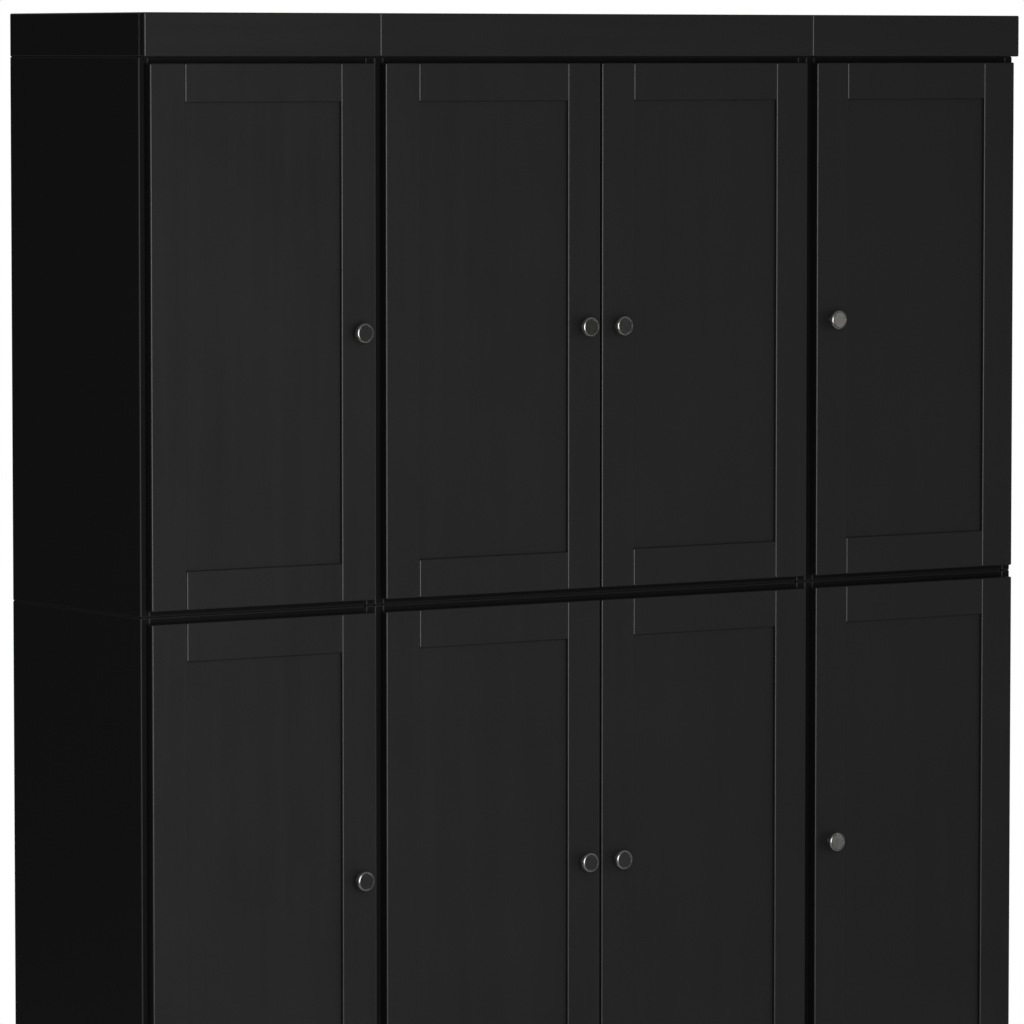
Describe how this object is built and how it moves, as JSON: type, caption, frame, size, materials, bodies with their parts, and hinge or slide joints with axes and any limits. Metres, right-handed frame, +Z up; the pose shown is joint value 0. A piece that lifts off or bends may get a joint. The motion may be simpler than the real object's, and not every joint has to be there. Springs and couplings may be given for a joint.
{
  "type": "locker cabinet",
  "caption": "Wide free-standing cabinet of stacked lockers behind overlay shaker doors with round knobs, on a plinth under a box cap.",
  "frame": {"origin": "on the floor, under the middle of the whole object", "axes": "+Z up, +X to the right seen from the front, +Y to the back; the doors face -Y"},
  "size_m": [1.545, 0.4, 1.7],
  "materials": {
    "black_lacquer": "black satin lacquer on board",
    "back_board": "thin painted hardboard",
    "knob_metal": "satin gunmetal plating",
    "hinge_steel": "nickel-plated pressed steel",
    "fastener_steel": "zinc-plated steel",
    "catch_plastic": "moulded black plastic with steel pole plates",
    "bracket_steel": "black powder coat"
  },
  "bodies": {
    "root": {"carcass_lower_left": "black_lacquer", "shelf_lower_left": "black_lacquer", "carcass_lower_centre": "black_lacquer", "shelf_lower_centre": "black_lacquer", "carcass_lower_right": "black_lacquer", "shelf_lower_right": "black_lacquer", "carcass_upper_left": "black_lacquer", "shelf_upper_left": "black_lacquer", "carcass_upper_centre": "black_lacquer", "shelf_upper_centre": "black_lacquer", "carcass_upper_right": "black_lacquer", "shelf_upper_right": "black_lacquer", "cap_left": "black_lacquer", "plinth_left": "black_lacquer", "cap_centre": "black_lacquer", "plinth_centre": "black_lacquer", "cap_right": "black_lacquer", "plinth_right": "black_lacquer", "back_boards": "back_board", "hinge_arms": "hinge_steel", "hinge_plates": "hinge_steel", "hinge_screws": "fastener_steel", "magnetic_catches": "catch_plastic", "deck_screws": "fastener_steel", "cam_fasteners": "fastener_steel", "shelf_pegs": "fastener_steel", "connector_bolts": "fastener_steel", "wall_brackets": "bracket_steel"},
    "door_lower_left": {"door_frame_lower_left": "black_lacquer", "door_panel_lower_left": "black_lacquer", "knob_lower_left": "knob_metal", "door_fittings_lower_left": "hinge_steel"},
    "door_lower_centre_left": {"door_frame_lower_centre_left": "black_lacquer", "door_panel_lower_centre_left": "black_lacquer", "knob_lower_centre_left": "knob_metal", "door_fittings_lower_centre_left": "hinge_steel"},
    "door_lower_centre_right": {"door_frame_lower_centre_right": "black_lacquer", "door_panel_lower_centre_right": "black_lacquer", "knob_lower_centre_right": "knob_metal", "door_fittings_lower_centre_right": "hinge_steel"},
    "door_lower_right": {"door_frame_lower_right": "black_lacquer", "door_panel_lower_right": "black_lacquer", "knob_lower_right": "knob_metal", "door_fittings_lower_right": "hinge_steel"},
    "door_upper_left": {"door_frame_upper_left": "black_lacquer", "door_panel_upper_left": "black_lacquer", "knob_upper_left": "knob_metal", "door_fittings_upper_left": "hinge_steel"},
    "door_upper_centre_left": {"door_frame_upper_centre_left": "black_lacquer", "door_panel_upper_centre_left": "black_lacquer", "knob_upper_centre_left": "knob_metal", "door_fittings_upper_centre_left": "hinge_steel"},
    "door_upper_centre_right": {"door_frame_upper_centre_right": "black_lacquer", "door_panel_upper_centre_right": "black_lacquer", "knob_upper_centre_right": "knob_metal", "door_fittings_upper_centre_right": "hinge_steel"},
    "door_upper_right": {"door_frame_upper_right": "black_lacquer", "door_panel_upper_right": "black_lacquer", "knob_upper_right": "knob_metal", "door_fittings_upper_right": "hinge_steel"}
  },
  "joints": [
    {"name": "door_lower_left_hinge", "type": "hinge", "parent": "root", "child": "door_lower_left", "pos_m": [-0.7575, -0.1748, 0.4605], "axis": [0, 0, -1], "range_deg": [0, 95]},
    {"name": "door_lower_centre_left_hinge", "type": "hinge", "parent": "root", "child": "door_lower_centre_left", "pos_m": [-0.3675, -0.1748, 0.4605], "axis": [0, 0, -1], "range_deg": [0, 95]},
    {"name": "door_lower_centre_right_hinge", "type": "hinge", "parent": "root", "child": "door_lower_centre_right", "pos_m": [0.3675, -0.1748, 0.4605], "axis": [0, 0, 1], "range_deg": [0, 95]},
    {"name": "door_lower_right_hinge", "type": "hinge", "parent": "root", "child": "door_lower_right", "pos_m": [0.7575, -0.1748, 0.4605], "axis": [0, 0, 1], "range_deg": [0, 95]},
    {"name": "door_upper_left_hinge", "type": "hinge", "parent": "root", "child": "door_upper_left", "pos_m": [-0.7575, -0.1748, 1.2455], "axis": [0, 0, -1], "range_deg": [0, 95]},
    {"name": "door_upper_centre_left_hinge", "type": "hinge", "parent": "root", "child": "door_upper_centre_left", "pos_m": [-0.3675, -0.1748, 1.2455], "axis": [0, 0, -1], "range_deg": [0, 95]},
    {"name": "door_upper_centre_right_hinge", "type": "hinge", "parent": "root", "child": "door_upper_centre_right", "pos_m": [0.3675, -0.1748, 1.2455], "axis": [0, 0, 1], "range_deg": [0, 95]},
    {"name": "door_upper_right_hinge", "type": "hinge", "parent": "root", "child": "door_upper_right", "pos_m": [0.7575, -0.1748, 1.2455], "axis": [0, 0, 1], "range_deg": [0, 95]}
  ]
}
